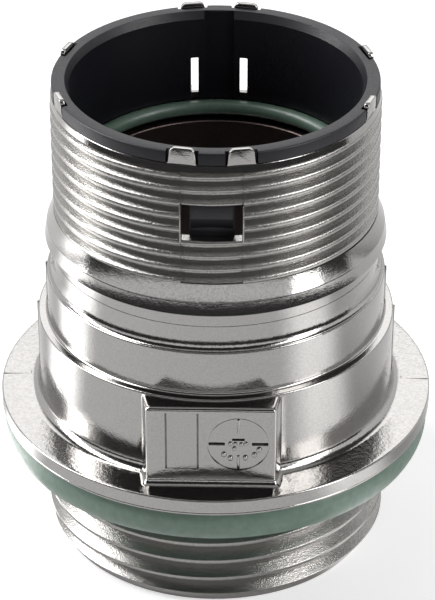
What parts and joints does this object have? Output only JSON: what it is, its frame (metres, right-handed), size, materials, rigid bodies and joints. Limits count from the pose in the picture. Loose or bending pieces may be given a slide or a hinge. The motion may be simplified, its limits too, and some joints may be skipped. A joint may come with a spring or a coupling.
{
  "type": "circular connector receptacle",
  "caption": "Panel-mount circular connector receptacle: threaded plated housing with flange, snap-in latch sleeve, inner seal and flange seal ring.",
  "frame": {"origin": "on the connector's axis, at the bottom end of the panel thread", "axes": "+Z along the axis towards the coupling end; -Y is the side with the label boss"},
  "size_m": [0.0312, 0.0312, 0.0364],
  "materials": {
    "nickel_plate": "nickel-plated die casting, bright on plain faces and satin in the threads",
    "black_plastic": "fine matt moulded plastic",
    "green_rubber": "smooth, slightly translucent elastomer"
  },
  "bodies": {
    "root": {"housing": "nickel_plate", "latch_sleeve": "black_plastic", "inner_seal_ring": "green_rubber", "flange_seal_ring": "green_rubber"}
  },
  "joints": []
}
